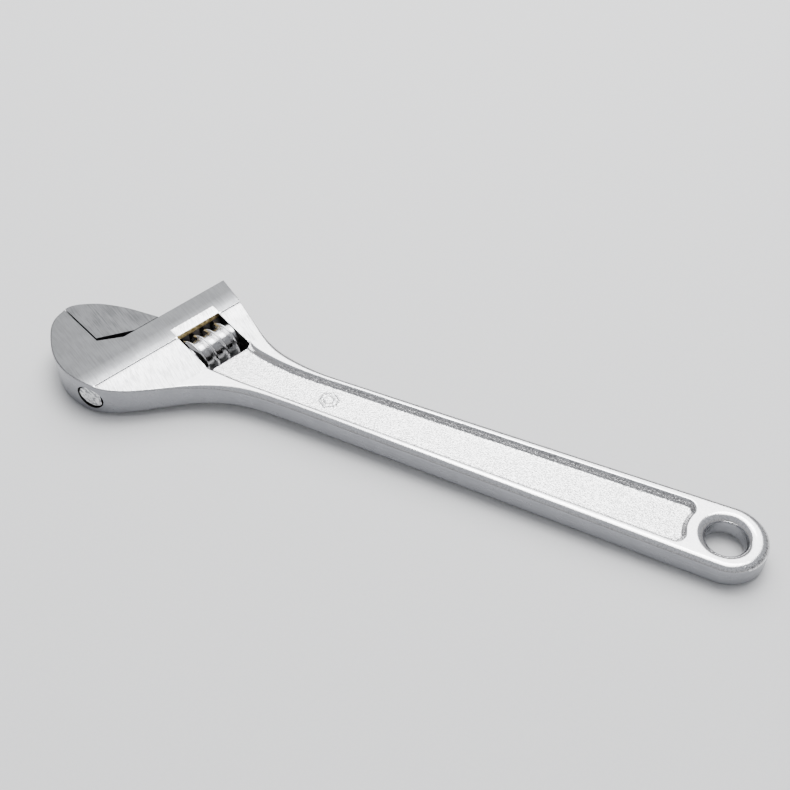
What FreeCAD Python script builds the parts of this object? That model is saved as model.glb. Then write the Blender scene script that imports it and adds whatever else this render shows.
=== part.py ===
import FreeCAD, Part
import math
import os
from FreeCAD import Vector

# Adjustable wrench, 300 mm (12 in) size, jaws set at 22.5 degrees to the handle.
#
# Frame: millimetres. The origin is the centre of the hanging hole, half way through the
# handle's thickness. +X runs from the head towards the tail, +Y is the side that the
# movable jaw opens to, +Z is square to the flat faces.
#
# Head frame: u points from the jaw tips to the handle, and v is the way the movable jaw
# opens. It is the model frame turned by -22.5 degrees about Z, so a head shape is drawn
# with x = u and y = v, and then turned with in_head_frame().

# ---- driving dimensions, mm and degrees -------------------------------------------
HEAD_ANGLE = 22.5           # jaw opening direction against the square of the handle
HEAD_HALF = 8.4             # half thickness of the head and both jaws
HANDLE_HALF = 5.45          # half thickness of the handle's rims
TAIL_REACH = 15.7           # hanging hole centre to the end of the handle
TAIL_WIDTH_HALF = 15.15     # half width of the handle at the hanging hole
HANDLE_TAPER = 1.18         # each side of the handle leans in towards the head
HANDLE_EDGE_ROUND = 2.2     # rounding of the handle's outer edges

HANG_HOLE_R = 7.7
HANG_LIP = (3.7, 3.1)       # width and depth of the dished mouths of the hole

SLIDE_U = -233.7            # surface that the movable jaw's foot slides on
CREASE_U = -218.2           # lower edge of the flat band across the head
BAND_FLAT_U = -223.0        # the band starts to round over here
CREASE_Z = 7.52             # height of the sloping face at the crease
SLOPE_END_U = -209.0        # the sloping face runs straight to here
SLOPE_END_Z = 6.07
HANDLE_START_U = -196.0     # from here on the thickness is the handle's
NECK_X = -167.0             # the straight sides of the handle end here

FACE_V = -115.4             # face of the fixed jaw
TIP_U = -264.9              # tips of the jaws
FIXED_ROOT_U = -239.3       # inner end of the fixed jaw's face
THROAT_ANGLE = 60.0         # the throat floor turns away from the jaw face by this
JAW_GAP = 0.6               # gap between the jaw faces as modelled
MOVING_ROOT_U = -240.6      # inner end of the movable jaw's face
FOOT_V = (-100.1, -88.1)    # the movable jaw's foot on the slide surface

STEM_U = -221.35            # axis of the round stem under the movable jaw
STEM_R = 5.67
STEM_BORE_R = 5.75
STEM_V = (-136.0, -60.0)      # before its end is ground off
STEM_END_Y = -36.9          # the end is flush with the fixed jaw's curved back
STEM_CHAMFER = 0.7          # on the end that shows in the fixed jaw's back
WEB_HALF = 2.8              # web between the foot and the stem
WEB_CLEARANCE = 0.15
WEB_V = (-100.9, -81.0)
SLIDE_CLEARANCE = 0.15      # foot above the slide surface

WORM_U = -210.5             # axis of the adjusting worm and its pin
WORM_R = 8.4
WORM_ROOT_R = 6.2
WORM_LEAD = 5.35            # single start, right-hand
WORM_V = (-88.7, -67.7)
WORM_CREST_V = -80.46       # a crest passes the handle side of the worm here
CREST_HALF = 0.62           # half width of the thread at its crest
ROOT_HALF = 1.42            # half width of the thread at its root
RACK_CLEARANCE = 0.22
RACK_V = (-126.0, -64.0)

WINDOW_U = (-219.0, -197.3)
WINDOW_V = (-89.0, -67.4)
NOTCH_U = -223.4            # upper edge of the ground notch above the window
NOTCH_LOW_Z = 7.06          # height of the notch's plane 3 past the window's edge

PIN_R = 2.25
PIN_HOLE_R = 2.27           # hole in the body that holds the pin
PIN_V = (-95.5, -57.6)
PIN_BORE_R = 2.31           # bore of the worm on the pin
PIN_SLOT = (0.9, 1.2)       # width and depth of the screwdriver slot

SPRING_WIRE_R = 0.3
SPRING_COIL_R = 2.85        # to the centre of the wire
SPRING_TURNS = 5
SPRING_POCKET_R = 3.6
SPRING_POCKET_DEPTH = 5.0

RECESS_FLOOR_Z = 3.1
RECESS_DRAFT = 1.3          # the recess is this much wider at the rim than at its floor
RECESS_START_U = -197.9
RECESS_END_R = 16.2         # the recess ends on this circle about the hanging hole
RECESS_TAIL_HALF = 8.9      # floor half width, carried on to the hanging hole
RECESS_TAPER = 0.75

# ---- helpers ----------------------------------------------------------------------


def in_head_frame(shape):
    """Turn a shape drawn with x = u and y = v into the model frame."""
    turned = shape.copy()
    turned.rotate(Vector(0, 0, 0), Vector(0, 0, 1), -HEAD_ANGLE)
    return turned


def head_point(u, v, z=0.0):
    """A point of the head frame, in the model frame."""
    cos = math.cos(math.radians(HEAD_ANGLE))
    sin = math.sin(math.radians(HEAD_ANGLE))
    return Vector(u * cos + v * sin, -u * sin + v * cos, z)


def line(start, end):
    return Part.LineSegment(start, end).toShape()


def arc(start, middle, end):
    return Part.Arc(start, middle, end).toShape()


def spline(points, start_tangent=None, end_tangent=None):
    """A smooth curve through the points, with its end directions where they are given."""
    curve = Part.BSplineCurve()
    if start_tangent and end_tangent:
        curve.interpolate(Points=points, InitialTangent=start_tangent, FinalTangent=end_tangent)
    else:
        curve.interpolate(Points=points)
    return curve.toShape()


def head_box(u_range, v_range, z_range):
    """A box with its sides along u, v and z."""
    box = Part.makeBox(u_range[1] - u_range[0], v_range[1] - v_range[0],
                       z_range[1] - z_range[0], Vector(u_range[0], v_range[0], z_range[0]))
    return in_head_frame(box)


def head_rod(u, radius, v_range):
    """A round rod along v, with its axis at height zero."""
    rod = Part.makeCylinder(radius, v_range[1] - v_range[0], Vector(u, v_range[0], 0),
                            Vector(0, 1, 0))
    return in_head_frame(rod)


def flipped(shape):
    """The same shape on the other face of the wrench."""
    return shape.mirror(Vector(0, 0, 0), Vector(0, 0, 1))


# ---- body: handle, head and fixed jaw ---------------------------------------------

TAPER = math.radians(HANDLE_TAPER)
TAIL_R = TAIL_WIDTH_HALF * math.cos(TAPER)
TAIL_CENTRE = Vector(TAIL_REACH - TAIL_R, 0, 0)


def handle_edge(x, side):
    """Point on the straight edge of the handle; side is +1 or -1."""
    start_x = TAIL_CENTRE.x - TAIL_R * math.sin(TAPER)
    return Vector(x, side * (TAIL_R * math.cos(TAPER) + (x - start_x) * math.tan(TAPER)), 0)


def plan_outline():
    """Outline of the handle, the head and the fixed jaw, seen from above."""
    tail_x = TAIL_CENTRE.x - TAIL_R * math.sin(TAPER)
    tip = head_point(TIP_U, FACE_V)
    root = head_point(FIXED_ROOT_U, FACE_V)
    rise = (SLIDE_U - FIXED_ROOT_U) * math.tan(math.radians(THROAT_ANGLE))
    throat = head_point(SLIDE_U, FACE_V + rise)
    heel = head_point(SLIDE_U, -53.4)
    shoulder = head_point(-218.4, -56.0)
    far_neck = [shoulder, Vector(-213.9, 25.9, 0), Vector(-205.6, 20.6, 0),
                Vector(-195.6, 15.9, 0), Vector(-183.6, 13.0, 0), handle_edge(NECK_X, 1)]
    near_side = [handle_edge(NECK_X, -1), Vector(-184.0, -11.6, 0), Vector(-199.4, -12.9, 0),
                 Vector(-215.1, -18.2, 0), Vector(-229.1, -26.6, 0), Vector(-242.0, -34.5, 0),
                 Vector(-248.5, -37.0, 0), Vector(-255.8, -37.7, 0), Vector(-264.0, -36.5, 0),
                 Vector(-274.3, -31.8, 0), Vector(-284.4, -21.6, 0), Vector(-289.4, -10.8, 0),
                 tip]
    lean = Vector(math.cos(TAPER), math.sin(TAPER), 0)
    edges = [line(tip, root), line(root, throat), line(throat, heel), line(heel, shoulder)]
    edges.append(spline(far_neck, (shoulder - heel).normalize(), lean))
    edges.append(line(handle_edge(NECK_X, 1), handle_edge(tail_x, 1)))
    edges.append(arc(handle_edge(tail_x, 1), Vector(TAIL_REACH, 0, 0), handle_edge(tail_x, -1)))
    edges.append(line(handle_edge(tail_x, -1), handle_edge(NECK_X, -1)))
    edges.append(spline(near_side, Vector(-lean.x, lean.y, 0), Vector(0.14, 0.99, 0)))
    return Part.Wire(edges)


def thickness_prism():
    """Side view of the body, drawn in u and z and swept along v."""
    head_end = -320
    tail_end = 120

    def side(sign):
        flat = [Vector(head_end, 0, sign * HEAD_HALF), Vector(BAND_FLAT_U, 0, sign * HEAD_HALF)]
        slope_top = Vector(CREASE_U, 0, sign * CREASE_Z)
        band = [flat[1], Vector(-220.5, 0, sign * (HEAD_HALF - 0.22)), slope_top]
        slope_end = Vector(SLOPE_END_U, 0, sign * SLOPE_END_Z)
        blend = [slope_end, Vector(-203.5, 0, sign * (HANDLE_HALF + 0.1)),
                 Vector(HANDLE_START_U, 0, sign * HANDLE_HALF)]
        slope = (slope_end - slope_top).normalize()
        return [line(*flat), arc(*band), line(slope_top, slope_end),
                spline(blend, slope, Vector(1, 0, 0)),
                line(blend[-1], Vector(tail_end, 0, sign * HANDLE_HALF))]

    caps = [line(Vector(tail_end, 0, HANDLE_HALF), Vector(tail_end, 0, -HANDLE_HALF)),
            line(Vector(head_end, 0, -HEAD_HALF), Vector(head_end, 0, HEAD_HALF))]
    wire = Part.Wire(Part.__sortEdges__(side(1) + side(-1) + caps))
    face = Part.Face(wire)
    face.translate(Vector(0, -260, 0))
    return in_head_frame(face.extrude(Vector(0, 420, 0)))


def is_handle_rim(edge):
    """True for the outer edges of the handle, where its thickness is constant."""
    box = edge.BoundBox
    height = max(abs(box.ZMin), abs(box.ZMax))
    along_outline = box.XMax > -190 or edge.Curve.TypeId.endswith("BSplineCurve")
    return box.ZMin * box.ZMax > 0 and height < HANDLE_HALF + 0.01 and along_outline


def body_blank():
    """The forging before anything is cut in it, with the handle's edges rounded."""
    plan = Part.Face(plan_outline())
    plan.translate(Vector(0, 0, -HEAD_HALF - 1))
    blank = plan.extrude(Vector(0, 0, 2 * HEAD_HALF + 2)).common(thickness_prism())
    rims = [edge for edge in blank.Edges if is_handle_rim(edge)]
    return blank.makeFillet(HANDLE_EDGE_ROUND, rims)


def recess_wire(grow, z):
    """Outline of the handle's recess, wider than its floor by grow, at height z."""
    slope = math.radians(RECESS_TAPER)

    def side_point(x, sign):
        return Vector(x, sign * (RECESS_TAIL_HALF + grow + x * math.tan(slope)), z)

    end_r = RECESS_END_R - grow
    end_angle = math.asin((RECESS_TAIL_HALF + grow - 3.0) / RECESS_END_R)
    end_x = -end_r * math.cos(end_angle)
    end_y = end_r * math.sin(end_angle)
    corner_x = end_x + 0.4 * grow
    far_start = head_point(RECESS_START_U, WINDOW_V[1] - 1.2 + grow, z)
    near_start = head_point(RECESS_START_U, WINDOW_V[0] + 1.2 - grow, z)
    far_neck = [far_start, Vector(-199.8, 9.0 + grow, z), Vector(-190.0, 7.4 + grow, z),
                side_point(-172.0, 1)]
    near_neck = [side_point(-172.0, -1), Vector(-190.0, -6.5 - grow, z),
                 Vector(-203.0, -6.3 - grow, z), near_start]
    toward_tail = Vector(math.cos(slope), math.sin(slope), 0)
    toward_head = Vector(-math.cos(slope), math.sin(slope), 0)
    far_corner = side_point(corner_x, 1)
    near_corner = side_point(corner_x, -1)
    edges = [line(near_start, far_start),
             spline(far_neck, Vector(0.8, -0.6, 0), toward_tail),
             line(far_neck[-1], far_corner),
             line(far_corner, Vector(end_x, end_y, z)),
             arc(Vector(end_x, end_y, z), Vector(-end_r, 0, z), Vector(end_x, -end_y, z)),
             line(Vector(end_x, -end_y, z), near_corner),
             line(near_corner, near_neck[0]),
             spline(near_neck, toward_head, Vector(-1.0, 0.05, 0))]
    return Part.Wire(edges)


def recess():
    """The shallow pocket in one face of the handle, with sloping walls."""
    top_z = HANDLE_HALF + 1.0
    per_mm = RECESS_DRAFT / (HANDLE_HALF - RECESS_FLOOR_Z)
    top_grow = per_mm * (top_z - RECESS_FLOOR_Z)
    wires = [recess_wire(0.0, RECESS_FLOOR_Z), recess_wire(top_grow, top_z)]
    return Part.makeLoft(wires, True, True)


def notch():
    """The ground facet that runs down from the flat band to the window."""
    start_v = WINDOW_V[0]
    low_u = WINDOW_U[0] + 3
    clear_z = HEAD_HALF + 4
    corners = [Vector(NOTCH_U, start_v, HEAD_HALF), Vector(low_u, start_v, NOTCH_LOW_Z),
               Vector(low_u, start_v, clear_z), Vector(NOTCH_U, start_v, clear_z)]
    face = Part.Face(Part.makePolygon(corners + corners[:1]))
    return in_head_frame(face.extrude(Vector(0, WINDOW_V[1] - WINDOW_V[0], 0)))


def dished_mouth():
    """The rounded metal missing at the hole's upper mouth, as a tool to cut with."""
    width, depth = HANG_LIP
    half_turn = math.radians(45)
    rim = Vector(HANG_HOLE_R + width, 0, HANDLE_HALF)
    bend = Vector(HANG_HOLE_R + width * (1 - math.cos(half_turn)), 0,
                  HANDLE_HALF - depth * (1 - math.sin(half_turn)))
    throat = Vector(HANG_HOLE_R, 0, HANDLE_HALF - depth)
    above = HANDLE_HALF + 5
    edges = [arc(throat, bend, rim), line(rim, Vector(rim.x, 0, above)),
             line(Vector(rim.x, 0, above), Vector(0, 0, above)),
             line(Vector(0, 0, above), Vector(0, 0, throat.z)), line(Vector(0, 0, throat.z), throat)]
    profile = Part.Face(Part.Wire(edges))
    return profile.revolve(Vector(0, 0, 0), Vector(0, 0, 1), 360)


def hanging_hole(blank):
    """Cut the hanging hole and its two dished mouths."""
    mouth = dished_mouth()
    hole = Part.makeCylinder(HANG_HOLE_R, 30, Vector(0, 0, -15))
    return blank.cut(hole).cut(mouth).cut(flipped(mouth))


def body():
    """Handle, head and fixed jaw in one forging."""
    shape = hanging_hole(body_blank())
    for tool in (recess(), notch()):
        shape = shape.cut(tool).cut(flipped(tool))
    shape = shape.cut(head_box(WINDOW_U, WINDOW_V, (-20, 20)))
    shape = shape.cut(head_rod(STEM_U, STEM_BORE_R, (-160, -40)))
    slot_half = WEB_HALF + WEB_CLEARANCE
    shape = shape.cut(head_box((-250, STEM_U), (-107.0, -40), (-slot_half, slot_half)))
    return shape.cut(head_rod(WORM_U, PIN_HOLE_R, (PIN_V[0], -40)))


# ---- movable jaw ------------------------------------------------------------------


def jaw_outline():
    """Outline of the movable jaw's blade, seen from above."""
    face_v = FACE_V + JAW_GAP
    foot_u = SLIDE_U - SLIDE_CLEARANCE
    tip = head_point(TIP_U, face_v)
    root = head_point(MOVING_ROOT_U, face_v)
    heel = head_point(foot_u, FOOT_V[0])
    toe = head_point(foot_u, FOOT_V[1])
    back = [toe, Vector(-256.2, 7.7, 0), Vector(-263.8, 7.2, 0), Vector(-270.9, 6.0, 0),
            Vector(-277.6, 4.1, 0), Vector(-283.6, 1.0, 0), Vector(-287.4, -2.1, 0), tip]
    return Part.Wire([line(tip, root), line(root, heel), line(heel, toe), spline(back)])


def rack_slot(v):
    """One tooth space of the rack: a slot across the stem, leaning with the thread."""
    depth = WORM_R - WORM_ROOT_R
    crest = CREST_HALF + RACK_CLEARANCE
    root = ROOT_HALF + RACK_CLEARANCE
    bottom_u = WORM_U - WORM_R - RACK_CLEARANCE
    flare = (root - crest) / depth
    mouth_u = bottom_u + depth + 4.0
    mouth = crest + flare * (mouth_u - bottom_u)
    lean = WORM_LEAD / (2 * math.pi * (WORM_R - depth / 2))
    corners = [Vector(bottom_u, v - crest, 0), Vector(bottom_u, v + crest, 0),
               Vector(mouth_u, v + mouth, 0), Vector(mouth_u, v - mouth, 0)]
    face = Part.Face(Part.makePolygon(corners + corners[:1]))
    reach = 8.0
    face.translate(Vector(0, -lean * reach, -reach))
    return face.extrude(Vector(0, 2 * lean * reach, 2 * reach))


def stem():
    """Round stem that slides in the body, its end ground flush with the head's side."""
    rod = head_rod(STEM_U, STEM_R, STEM_V)
    end_x = head_point(STEM_U, STEM_V[0]).x
    rod = rod.cut(Part.makeBox(40, 20, 20, Vector(end_x - 20, STEM_END_Y - 20, -10)))
    rim = min((edge for edge in rod.Edges if edge.Closed),
              key=lambda edge: abs(edge.CenterOfMass.y - STEM_END_Y))
    return rod.makeChamfer(STEM_CHAMFER, [rim])


def movable_jaw():
    """Blade, web and round stem with its rack, in one piece."""
    plan = Part.Face(jaw_outline())
    plan.translate(Vector(0, 0, -HEAD_HALF))
    blade = plan.extrude(Vector(0, 0, 2 * HEAD_HALF))
    web = head_box((SLIDE_U - 1.0, STEM_U), WEB_V, (-WEB_HALF, WEB_HALF))
    shape = blade.fuse([web, stem()])
    tooth_tip_u = WORM_U - WORM_ROOT_R - RACK_CLEARANCE
    shape = shape.cut(head_box((tooth_tip_u, tooth_tip_u + 10), (-140, -50), (-9, 9)))
    first = math.ceil((RACK_V[0] - WORM_CREST_V) / WORM_LEAD)
    last = math.floor((RACK_V[1] - WORM_CREST_V) / WORM_LEAD)
    half_turn = WORM_LEAD / 2
    slots = [rack_slot(WORM_CREST_V - half_turn + turn * WORM_LEAD) for turn in range(first, last + 1)]
    return shape.cut([in_head_frame(slot) for slot in slots]).removeSplitter()


# ---- adjusting worm, its pin and its spring ---------------------------------------


def thread_turn(start):
    """One right-hand turn of the trapezoid thread along +Z, from the +X side at start."""
    flare = (ROOT_HALF - CREST_HALF) / (WORM_R - WORM_ROOT_R)
    inner = WORM_ROOT_R - 0.7
    inner_half = ROOT_HALF + flare * (WORM_ROOT_R - inner)
    corners = [Vector(inner, 0, start - inner_half), Vector(WORM_R, 0, start - CREST_HALF),
               Vector(WORM_R, 0, start + CREST_HALF), Vector(inner, 0, start + inner_half)]
    path = Part.makeHelix(WORM_LEAD, WORM_LEAD, WORM_ROOT_R)
    path.translate(Vector(0, 0, start))
    return Part.Wire(path).makePipeShell([Part.makePolygon(corners + corners[:1])], True, True)


def adjusting_worm():
    """The thumb worm: a threaded barrel with a pin bore and a pocket for the spring."""
    length = WORM_V[1] - WORM_V[0]
    base = WORM_V[0] - WORM_CREST_V
    limits = Part.makeCylinder(WORM_R + 1, length, Vector(0, 0, base))
    shape = Part.makeCylinder(WORM_ROOT_R, length, Vector(0, 0, base))
    first = math.floor(base / WORM_LEAD) - 1
    last = math.ceil((base + length) / WORM_LEAD)
    for turn in range(first, last + 1):
        shape = shape.fuse(thread_turn(turn * WORM_LEAD).common(limits))
    shape = shape.cut(Part.makeCylinder(PIN_BORE_R, 2 * length, Vector(0, 0, base - length / 2)))
    pocket_base = base + length - SPRING_POCKET_DEPTH
    shape = shape.cut(Part.makeCylinder(SPRING_POCKET_R, SPRING_POCKET_DEPTH + 1,
                                        Vector(0, 0, pocket_base)))
    shape.rotate(Vector(0, 0, 0), Vector(1, 0, 0), -90)
    shape.translate(Vector(WORM_U, WORM_CREST_V, 0))
    return in_head_frame(shape)


def worm_pin():
    """Plain pin that the worm turns on, with a screwdriver slot in its outer end."""
    pin = head_rod(WORM_U, PIN_R, PIN_V)
    width, depth = PIN_SLOT
    slot = head_box((WORM_U - PIN_R - 1, WORM_U + PIN_R + 1), (PIN_V[1] - depth, PIN_V[1] + 1),
                    (-width / 2, width / 2))
    return pin.cut(slot)


def worm_spring():
    """Small coil spring round the pin, in the pocket in the worm's end."""
    length = WINDOW_V[1] - WORM_V[1] + SPRING_POCKET_DEPTH - 2 * SPRING_WIRE_R - 0.2
    pitch = length / SPRING_TURNS
    path = Part.makeHelix(pitch, length, SPRING_COIL_R)
    circle = Part.makeCircle(SPRING_WIRE_R, Vector(SPRING_COIL_R, 0, 0), Vector(0, 1, 0))
    coil = Part.Wire(path).makePipeShell([Part.Wire(circle)], True, True)
    coil.rotate(Vector(0, 0, 0), Vector(1, 0, 0), -90)
    coil.translate(Vector(WORM_U, WINDOW_V[1] - SPRING_WIRE_R - 0.1 - length, 0))
    return in_head_frame(coil)


# ---- export -----------------------------------------------------------------------

NODES = {
    "body": body,
    "movable_jaw": movable_jaw,
    "adjusting_worm": adjusting_worm,
    "worm_pin": worm_pin,
    "worm_spring": worm_spring,
}


def main():
    os.makedirs("parts", exist_ok=True)
    for name, make in NODES.items():
        make().exportStep("parts/" + name + ".step")


main()
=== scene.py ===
"""Looks of the adjustable wrench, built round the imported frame.

Lengths in the mesh functions are millimetres in the frame's own axes, and to_metres()
turns them into the scene's metres. Head frame: u runs from the jaw tips to the handle
and v is the way the movable jaw opens; it is the frame turned by -22.5 degrees about Z.
"""
import bmesh
import bpy
import math
import numpy as np
from mathutils import Matrix, Vector
from mathutils.geometry import delaunay_2d_cdt


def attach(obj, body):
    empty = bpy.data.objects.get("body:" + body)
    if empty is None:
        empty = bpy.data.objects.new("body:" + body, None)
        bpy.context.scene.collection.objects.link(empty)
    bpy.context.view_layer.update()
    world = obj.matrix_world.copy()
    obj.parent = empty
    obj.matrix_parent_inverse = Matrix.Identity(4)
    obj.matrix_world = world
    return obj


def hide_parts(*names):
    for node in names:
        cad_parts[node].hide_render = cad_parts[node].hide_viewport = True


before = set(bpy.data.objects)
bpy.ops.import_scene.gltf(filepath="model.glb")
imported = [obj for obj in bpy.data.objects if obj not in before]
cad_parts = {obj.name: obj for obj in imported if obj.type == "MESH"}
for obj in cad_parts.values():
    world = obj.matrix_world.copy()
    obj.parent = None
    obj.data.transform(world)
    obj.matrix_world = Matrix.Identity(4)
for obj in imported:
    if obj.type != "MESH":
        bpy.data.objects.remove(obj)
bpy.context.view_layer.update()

MM = 0.001

# ---- driving dimensions, mm and degrees -------------------------------------------
HEAD_ANGLE = 22.5
HEAD_HALF = 8.4             # half thickness of the head
HANDLE_HALF = 5.45          # half thickness of the handle's rims
TAIL_REACH = 15.7
TAIL_WIDTH_HALF = 15.15
HANDLE_TAPER = 1.18
NECK_X = -167.0             # the straight sides of the handle end here

SLIDE_U = -233.7
CREASE_U = -218.2
BAND_FLAT_U = -223.0
CREASE_Z = 7.52
SLOPE_END_U = -209.0
SLOPE_END_Z = 6.07

CREASE_GROOVE = (0.3, 0.25)  # depth and half width of the line along the crease
SLOPE_BLEND = 2.2           # blend between the neck's slope and the handle

FACE_V = -115.4
TIP_U = -264.9
FIXED_ROOT_U = -239.3
THROAT_ANGLE = 60.0
HEEL_V = -53.4              # far end of the slide band
STEM_U = -221.35
STEM_BORE_R = 5.75
STEM_END_Y = -36.9          # the stem's ground end, flush with the head's back
SLOT_HALF = 2.95            # half width of the slot for the movable jaw's web
PIN_HOLE_R = 2.27
PIN_START_V = -95.5

WORM_U = -210.5
WORM_R = 8.4
WORM_ROOT_R = 6.2
CREST_HALF = 0.42           # half width of the thread's crest, and where its root starts
ROOT_HALF = 1.35
CREST_DROP = 0.25           # how far the crest rounds away at its half width
CREST_BLEND = 0.35
ROOT_BLEND = 0.9
WORM_BEVEL = 0.5            # length of the bevel on each end of the thread
WORM_LEAD = 5.35
WORM_V = (-88.7, -67.7)
WORM_CREST_V = -80.46
PIN_BORE_R = 2.31
SPRING_POCKET_R = 3.6
SPRING_POCKET_DEPTH = 5.0

WINDOW_U = (-219.0, -197.3)
WINDOW_V = (-89.0, -67.4)
NOTCH_U = -223.4
NOTCH_SLOPE = -0.168        # rise of the notch's plane along u
NOTCH_REACH = 1.0           # how far the notch runs on over the window
NOTCH_WALL_RISE = 6.0       # rise over run of the notch's edges
HANG_HOLE_R = 7.7
HANG_LIP = (3.7, 3.1)       # width and depth of the hole's dished mouths

RECESS_FLOOR_Z = 3.1
RECESS_END_R = 16.2
RECESS_TAIL_HALF = 8.9
RECESS_TAPER = 0.75
RECESS_START_U = -197.9
RECESS_WALL_SLOPE = 1.5     # rise over run of the recess's walls
RECESS_FLOOR_BLEND = 0.5    # blend between a recess wall and its floor
RIM_INNER_ROUND = 1.1       # blend between a recess wall and the rim's top
WALL_REACH = 1.9            # how far the rough walls reach out from the recess's floor
RIM_CROWN = 0.42            # how much wider than deep the rims' outer rounding is
WALL_LINES = (-0.6, -0.3, -0.1, 0.1, 0.3, 0.6, 0.85, 1.1, 1.35, 1.6, 1.85, 2.1, 2.35)
MARK_X = -163.5             # centre of the raised mark on the recess floor
MARK_NUT_R = 4.1            # corners of its hexagon
MARK_HOLE_R = 2.1
MARK_RIDGE = (0.3, 0.32)    # height and half width of its lines
MARK_REACH = 6.0            # nothing of it lies further along the handle than this

SHARP_EDGE = 0.22           # rounding of the jaws' and the window's edges
HEEL_EDGE = 0.4
FAR_EDGE = 0.45             # where the far neck begins
NEAR_EDGE = 0.55            # round the near side of the head
HANDLE_EDGE = 2.3

EDGE_STEPS = 9              # facets round each outer edge
LIP_STEPS = 14              # facets down each mouth of the hanging hole
WINDOW_STEPS = 3
WORM_ROWS = 190
WORM_AROUND = 112
FINE_STEP = 0.9             # spacing of points along outlines
GRID_STEP = 1.25            # spacing of points on plain areas

COS_HEAD = math.cos(math.radians(HEAD_ANGLE))
SIN_HEAD = math.sin(math.radians(HEAD_ANGLE))
HEAD_U_WAY = (COS_HEAD, -SIN_HEAD, 0)


# ---- plan geometry ----------------------------------------------------------------

def head_point(u, v):
    """The frame's X and Y of a point given in the head's own axes."""
    return np.array([u * COS_HEAD + v * SIN_HEAD, -u * SIN_HEAD + v * COS_HEAD])


def head_u(points):
    return points[:, 0] * COS_HEAD - points[:, 1] * SIN_HEAD


def head_v(points):
    return points[:, 0] * SIN_HEAD + points[:, 1] * COS_HEAD


def straight(start, end, step=FINE_STEP):
    """Evenly spaced points from start up to, but not including, end."""
    start, end = np.array(start, float), np.array(end, float)
    count = max(1, round(np.linalg.norm(end - start) / step))
    return start + (end - start) * (np.arange(count) / count)[:, None]


def smooth_curve(points, start_way, end_way, step=FINE_STEP):
    """Points on a smooth curve through the given ones, leaving out the last."""
    knots = np.array(points, float)
    chord = np.linalg.norm(np.diff(knots, axis=0), axis=1)
    count = len(knots)
    system = np.zeros((count, count))
    right = np.zeros((count, 2))
    system[0, 0] = system[-1, -1] = 1
    right[0] = np.array(start_way) / np.linalg.norm(start_way)
    right[-1] = np.array(end_way) / np.linalg.norm(end_way)
    for i in range(1, count - 1):
        before, after = chord[i - 1], chord[i]
        system[i, i - 1:i + 2] = after, 2 * (before + after), before
        right[i] = 3 * (before / after * (knots[i + 1] - knots[i])
                        + after / before * (knots[i] - knots[i - 1]))
    ways = np.linalg.solve(system, right)
    out = []
    for i in range(count - 1):
        t = (np.arange(max(1, round(chord[i] / step))) / max(1, round(chord[i] / step)))[:, None]
        out.append((2 * t**3 - 3 * t**2 + 1) * knots[i] + (3 * t**2 - 2 * t**3) * knots[i + 1]
                   + chord[i] * ((t**3 - 2 * t**2 + t) * ways[i] + (t**3 - t**2) * ways[i + 1]))
    return np.vstack(out)


def round_points(centre, radius, start, end, count):
    angles = np.radians(start + (end - start) * np.arange(count) / count)
    return np.array(centre) + radius * np.c_[np.cos(angles), np.sin(angles)]


TAPER = math.radians(HANDLE_TAPER)
TAIL_R = TAIL_WIDTH_HALF * math.cos(TAPER)
TAIL_X = TAIL_REACH - TAIL_R


def handle_edge(x, side):
    start_x = TAIL_X - TAIL_R * math.sin(TAPER)
    return np.array([x, side * (TAIL_R * math.cos(TAPER) + (x - start_x) * math.tan(TAPER))])


def body_outline():
    """Outline of the body, clockwise from the fixed jaw's tip, with the edge rounding there."""
    tail_x = TAIL_X - TAIL_R * math.sin(TAPER)
    tip = head_point(TIP_U, FACE_V)
    root = head_point(FIXED_ROOT_U, FACE_V)
    rise = (SLIDE_U - FIXED_ROOT_U) * math.tan(math.radians(THROAT_ANGLE))
    throat = head_point(SLIDE_U, FACE_V + rise)
    heel = head_point(SLIDE_U, HEEL_V)
    shoulder = head_point(-218.4, -56.0)
    lean = (math.cos(TAPER), math.sin(TAPER))
    far_neck = [shoulder, (-213.9, 25.9), (-205.6, 20.6), (-195.6, 15.9), (-183.6, 13.0),
                handle_edge(NECK_X, 1)]
    near_side = [handle_edge(NECK_X, -1), (-184.0, -11.6), (-199.4, -12.9), (-215.1, -18.2),
                 (-229.1, -26.6), (-242.0, -34.5), (-248.5, -37.0), (-255.8, -37.7),
                 (-264.0, -36.5), (-274.3, -31.8), (-284.4, -21.6), (-289.4, -10.8), tip]
    turn = 90 + HANDLE_TAPER
    jaw = [straight(tip, root), straight(root, throat), straight(throat, heel)]
    end = straight(heel, shoulder)
    far = smooth_curve(far_neck, shoulder - heel, lean)
    handle = [straight(handle_edge(NECK_X, 1), handle_edge(tail_x, 1), 2.0),
              round_points((TAIL_X, 0), TAIL_R, turn, -turn, 64),
              straight(handle_edge(tail_x, -1), handle_edge(NECK_X, -1), 2.0)]
    near = smooth_curve(near_side, (-lean[0], lean[1]), (0.14, 0.99))
    points = np.vstack(jaw + [end, far] + handle + [near])
    edge = np.full(len(points), SHARP_EDGE)
    at = sum(len(part) for part in jaw)
    edge[at:at + len(end)] = HEEL_EDGE
    at += len(end)
    edge[at:at + len(far)] = FAR_EDGE + (HANDLE_EDGE - FAR_EDGE) * ease((far[:, 0] + 222) / 32)
    at += len(far)
    size = sum(len(part) for part in handle)
    edge[at:at + size] = HANDLE_EDGE
    at += size
    edge[at:] = NEAR_EDGE + (HANDLE_EDGE - NEAR_EDGE) * ease((near[:, 0] + 240) / 48)
    return points, edge


def ease(t):
    """Smooth rise from 0 to 1."""
    t = np.clip(t, 0, 1)
    return t * t * (3 - 2 * t)


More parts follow.
